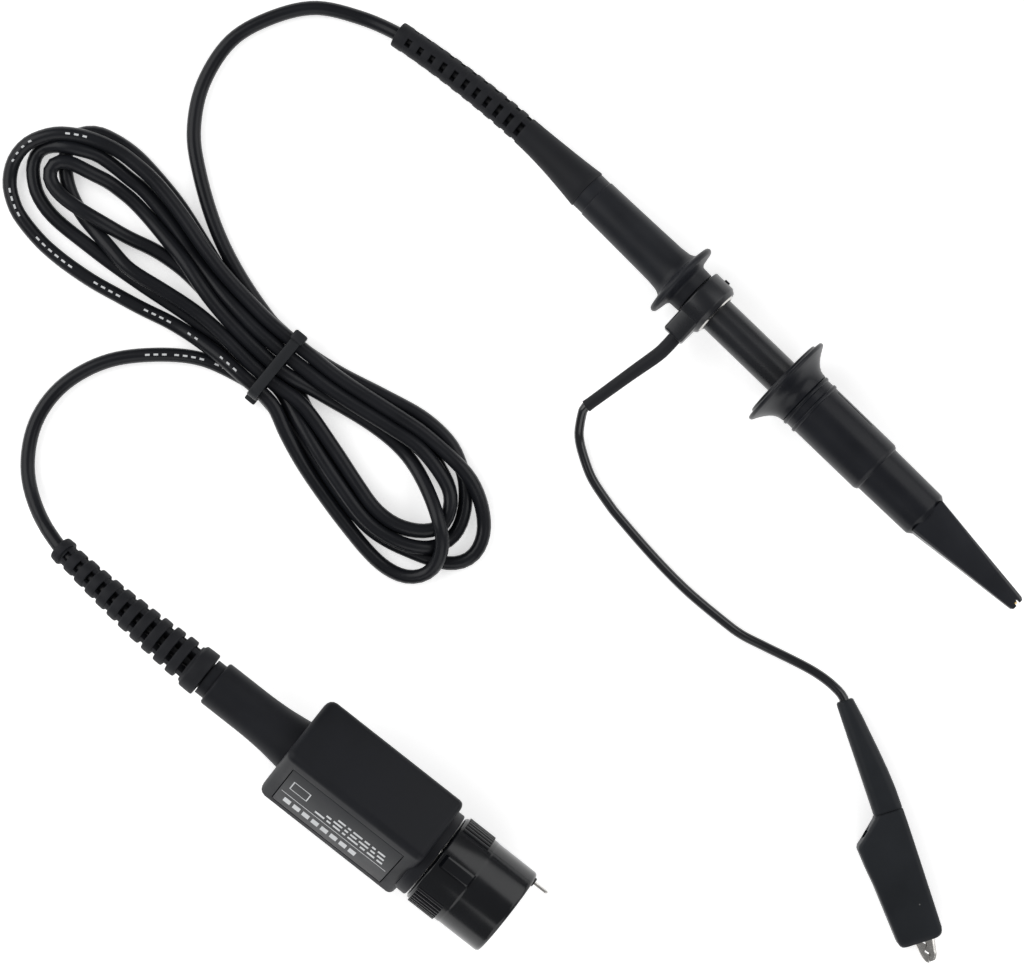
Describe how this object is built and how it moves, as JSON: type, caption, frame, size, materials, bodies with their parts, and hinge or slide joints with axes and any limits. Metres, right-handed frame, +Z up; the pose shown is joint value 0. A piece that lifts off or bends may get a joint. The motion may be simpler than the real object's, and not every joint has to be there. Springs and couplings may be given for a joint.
{
  "type": "oscilloscope probe",
  "caption": "Passive oscilloscope probe with spring hook tip, ground lead and clip, tied cable and bayonet plug box.",
  "frame": {"origin": "on the table, under the middle of the box round the probe's own rigid pieces (head, hook tip, ring and plug box), the cable and lead left out", "axes": "+Z up from the table; +X to the right and +Y away, as the probe lies in the picture seen from above"},
  "size_m": [0.2096, 0.1991, 0.0278],
  "materials": {
    "grip_plastic": "satin moulded black",
    "black_rubber": "matte black moulded rubber",
    "gloss_black": "glossy black moulded plastic",
    "hook_plastic": "semi-gloss black moulded plastic",
    "box_plastic": "fine matte black moulded plastic",
    "label_field": "matte dark field with plain light bars, no lettering",
    "cable_sheath": "semi-gloss black cable sheath",
    "lead_insulation": "glossy black wire insulation",
    "clip_rubber": "matte black soft sleeve",
    "tie_strap": "matte dark strap",
    "nickel": "bright nickel plating",
    "spring_steel": "plain spring steel",
    "contact_gold": "gold plated contact",
    "insulator_white": "plain white insulator",
    "board_green": "plain green circuit board",
    "resistor_body": "plain brown coating"
  },
  "bodies": {
    "probe": {"head_boot": "black_rubber", "head_grip": "grip_plastic", "probe_barrel": "gloss_black", "tip_insulator": "insulator_white", "probe_needle": "contact_gold", "ground_collar": "nickel", "box_boot": "black_rubber", "box_body": "box_plastic", "box_cover": "box_plastic", "label_plate": "label_field", "circuit_board": "board_green", "trimmer_body": "insulator_white", "series_resistor": "resistor_body", "plug_shell": "nickel", "plug_insulator": "insulator_white", "plug_centre_pin": "contact_gold", "plug_gasket": "black_rubber", "cable_head_run": "cable_sheath", "cable_box_run": "cable_sheath", "cable_hank": "cable_sheath", "cable_tie": "tie_strap"},
    "ground_lead_set": {"ground_ring": "gloss_black", "lead_sleeve": "black_rubber", "ground_lead": "lead_insulation", "clip_boot": "clip_rubber", "clip_fixed_jaw": "nickel", "clip_pivot": "spring_steel", "clip_spring": "spring_steel"},
    "clip_jaw": {"clip_moving_jaw": "nickel"},
    "hook_tip": {"hook_carrier": "hook_plastic", "hook_wire": "contact_gold", "hook_spring": "spring_steel"},
    "hook_sleeve": {"hook_sleeve": "hook_plastic"},
    "collar": {"lock_collar": "gloss_black", "bayonet_nut": "nickel", "readout_spring": "spring_steel"},
    "readout_pin": {"readout_pin": "nickel"},
    "trimmer": {"trimmer_rotor": "contact_gold"}
  },
  "joints": [
    {"name": "ground_swivel", "type": "hinge", "parent": "probe", "child": "ground_lead_set", "pos_m": [0.02985, 0.04187, 0.00858], "axis": [0.7151, -0.6954, 0.071], "continuous": true},
    {"name": "clip_jaw_open", "type": "hinge", "parent": "ground_lead_set", "child": "clip_jaw", "pos_m": [0.07397, -0.07798, 0.0035], "axis": [0, 0, -1], "range_deg": [0, 8], "stiffness_Nm_per_rad": 0.05, "springref_deg": -5.73},
    {"name": "hook_tip_pull", "type": "slide", "parent": "probe", "child": "hook_tip", "axis": [0.7151, -0.6954, 0.071], "range_m": [0, 0.05]},
    {"name": "hook_retract", "type": "slide", "parent": "hook_tip", "child": "hook_sleeve", "axis": [-0.7151, 0.6954, -0.071], "range_m": [0, 0.006], "stiffness_N_per_m": 150, "springref_m": -0.002, "deforming": ["hook_spring"]},
    {"name": "collar_turn", "type": "hinge", "parent": "probe", "child": "collar", "pos_m": [-0.00565, -0.08723, 0.01391], "axis": [0.7859, -0.6184, 0], "range_deg": [0, 90]},
    {"name": "readout_pin_press", "type": "slide", "parent": "collar", "child": "readout_pin", "axis": [-0.7859, 0.6184, 0], "range_m": [0, 0.0015], "stiffness_N_per_m": 200, "springref_m": -0.001, "deforming": ["readout_spring"]},
    {"name": "trimmer_turn", "type": "hinge", "parent": "probe", "child": "trimmer", "pos_m": [-0.03385, -0.06162, 0.01248], "axis": [0.546, 0.6939, -0.4695], "continuous": true}
  ]
}
